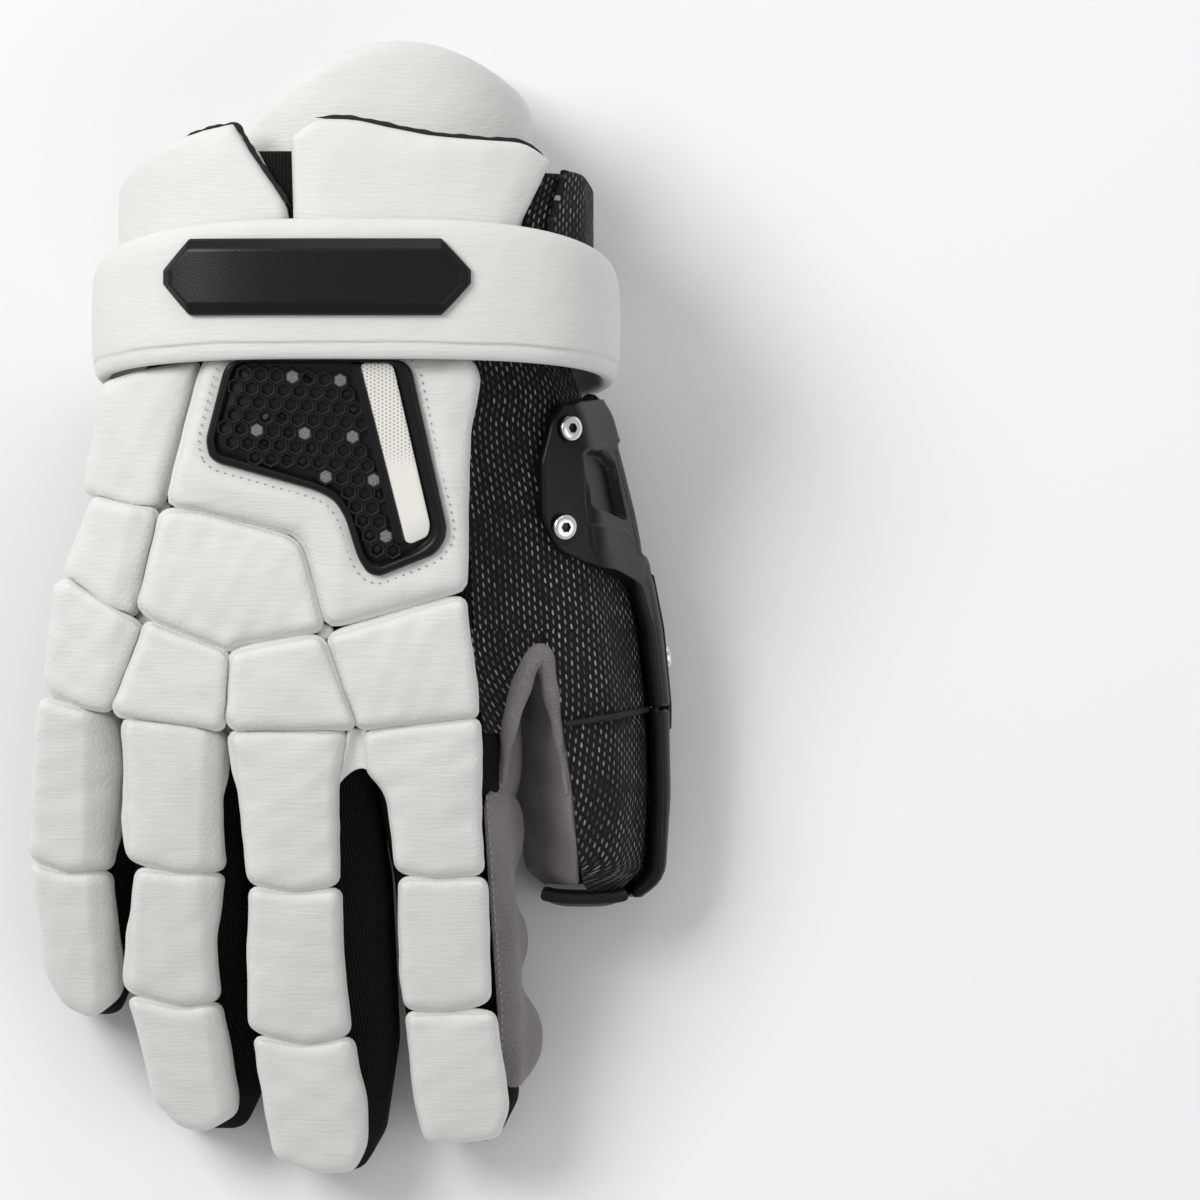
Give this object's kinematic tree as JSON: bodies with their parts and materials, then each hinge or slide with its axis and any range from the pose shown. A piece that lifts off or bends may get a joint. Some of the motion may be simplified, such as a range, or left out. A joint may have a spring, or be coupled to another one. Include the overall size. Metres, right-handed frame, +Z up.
{
  "type": "lacrosse goalie glove",
  "caption": "Padded right-hand lacrosse goalie glove lying palm down, with a strap round the wrist, a floating wrist guard and a plated thumb.",
  "frame": {"origin": "on the floor, in the middle of the glove's own box as it lies palm down", "axes": "+Z up from palm to back of hand, +Y from the fingers to the cuff, +X towards the thumb"},
  "size_m": [0.2034, 0.3586, 0.1249],
  "materials": {
    "white_fabric": "off-white woven synthetic",
    "black_cloth": "black knit",
    "mesh_cloth": "black spacer mesh with bright threads",
    "grey_suede": "warm grey suede",
    "black_plastic": "satin black",
    "cream_strip": "cream, matte",
    "screw_metal": "bright steel"
  },
  "bodies": {
    "root": {"centre_back_pad": "white_fabric", "cuff_gusset": "black_cloth", "cuff_mesh_flap": "mesh_cloth", "flap_grommet": "black_plastic", "hand_back_liner": "black_cloth", "hand_mesh_side": "mesh_cloth", "index_finger_back": "black_cloth", "index_finger_palm": "grey_suede", "index_knuckle_pad": "white_fabric", "index_pad_1": "white_fabric", "index_pad_2": "white_fabric", "index_pad_3": "white_fabric", "index_side_patch": "grey_suede", "inner_cuff_pad": "white_fabric", "lace": "black_cloth", "lower_side_pad": "white_fabric", "middle_finger_back": "black_cloth", "middle_finger_palm": "grey_suede", "middle_knuckle_pad": "white_fabric", "middle_pad_1": "white_fabric", "middle_pad_2": "white_fabric", "middle_pad_3": "white_fabric", "outer_cuff_pad": "white_fabric", "palm_panel": "grey_suede", "pinky_finger_back": "black_cloth", "pinky_finger_palm": "grey_suede", "pinky_knuckle_pad": "white_fabric", "pinky_pad_1": "white_fabric", "pinky_pad_2": "white_fabric", "ring_finger_back": "black_cloth", "ring_finger_palm": "grey_suede", "ring_knuckle_pad": "white_fabric", "ring_pad_1": "white_fabric", "ring_pad_2": "white_fabric", "ring_pad_3": "white_fabric", "screw_base_corner": "screw_metal", "screw_base_cuff": "screw_metal", "screw_base_heel": "screw_metal", "screw_tip_end": "screw_metal", "screw_tip_middle": "screw_metal", "screw_tongue": "screw_metal", "strap_badge": "black_plastic", "thumb_end_cap": "black_plastic", "thumb_guard_base": "black_plastic", "thumb_guard_clip": "black_plastic", "thumb_guard_tip": "black_plastic", "thumb_guard_tongue": "black_plastic", "thumb_mesh_back": "mesh_cloth", "thumb_palm": "grey_suede", "thumb_side_back_pad": "white_fabric", "thumb_web": "grey_suede", "upper_side_pad": "white_fabric", "vent_frame": "black_plastic", "vent_grille": "black_plastic", "vent_strip": "cream_strip", "wrist_guard": "white_fabric", "wrist_guard_lining": "black_cloth", "wrist_strap": "white_fabric"}
  },
  "joints": []
}
